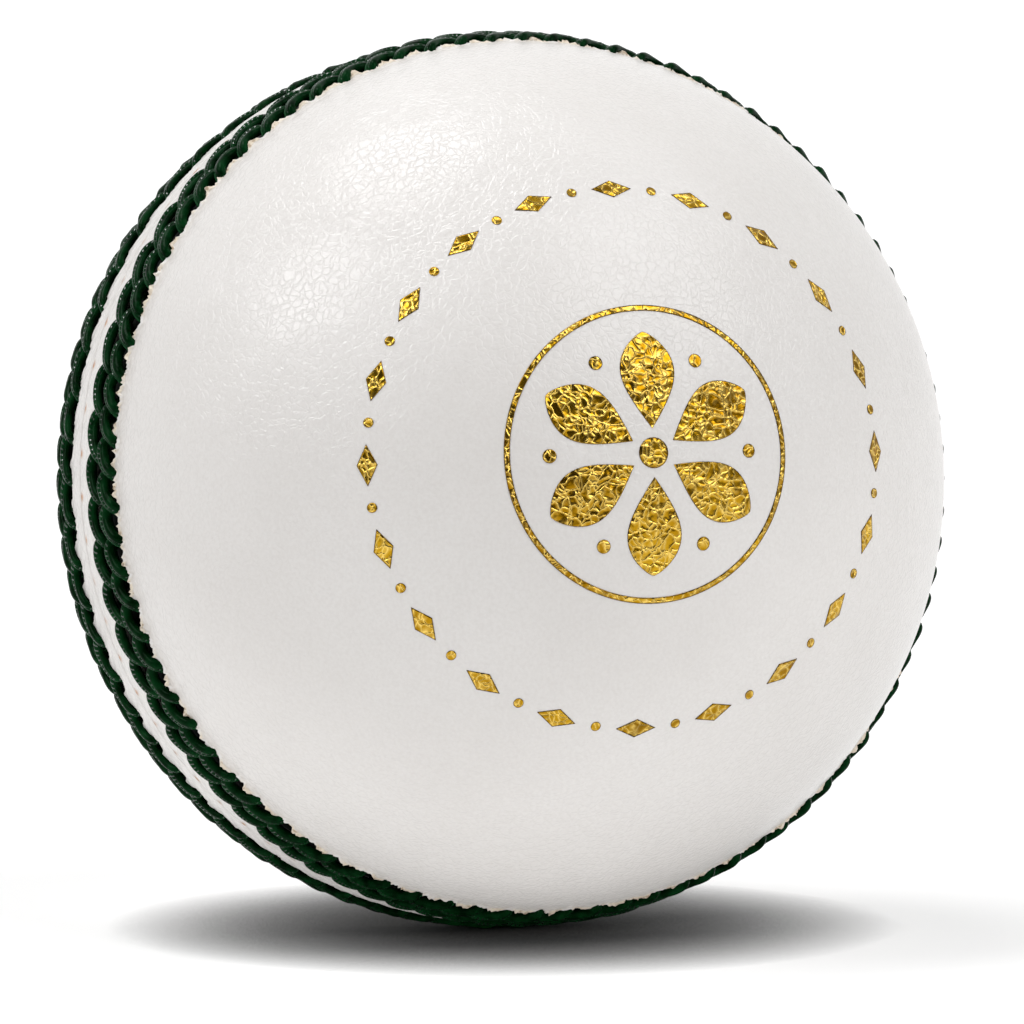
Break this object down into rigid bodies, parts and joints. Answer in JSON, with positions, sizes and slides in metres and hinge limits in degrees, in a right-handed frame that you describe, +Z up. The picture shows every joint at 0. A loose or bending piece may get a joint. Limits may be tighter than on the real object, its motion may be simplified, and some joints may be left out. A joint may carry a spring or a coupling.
{
  "type": "cricket ball",
  "caption": "Hard white leather cricket ball: two moulded leather cups, a raised green-stitched seam round the middle, and a wound cork and twine core inside.",
  "frame": {"origin": "centre of the ball", "axes": "+Z up. The pole of the front cup points along -Y and leans up by the angle at which the ball lies on the two seam rows of its back cup. +X runs in the plane of the seam, level."},
  "size_m": [0.0722, 0.0714, 0.0726],
  "materials": {
    "white_leather": "smooth lacquered",
    "green_thread": "waxed, glossy",
    "plain_thread": "waxed",
    "worsted_twine": "matte",
    "cork": "matte",
    "cork_rubber": "matte",
    "gold_foil": "crinkled metal foil"
  },
  "bodies": {
    "root": {"cover_front": "white_leather", "cover_back": "white_leather", "seam_row_front_outer": "green_thread", "seam_row_front_inner": "green_thread", "seam_row_back_outer": "green_thread", "seam_row_back_inner": "green_thread", "closing_stitch": "plain_thread", "winding_outer": "worsted_twine", "winding_middle": "worsted_twine", "winding_inner": "worsted_twine", "cork_outer_right": "cork", "cork_outer_left": "cork", "cork_inner_top": "cork", "cork_inner_bottom": "cork", "core_nut": "cork_rubber"}
  },
  "joints": []
}
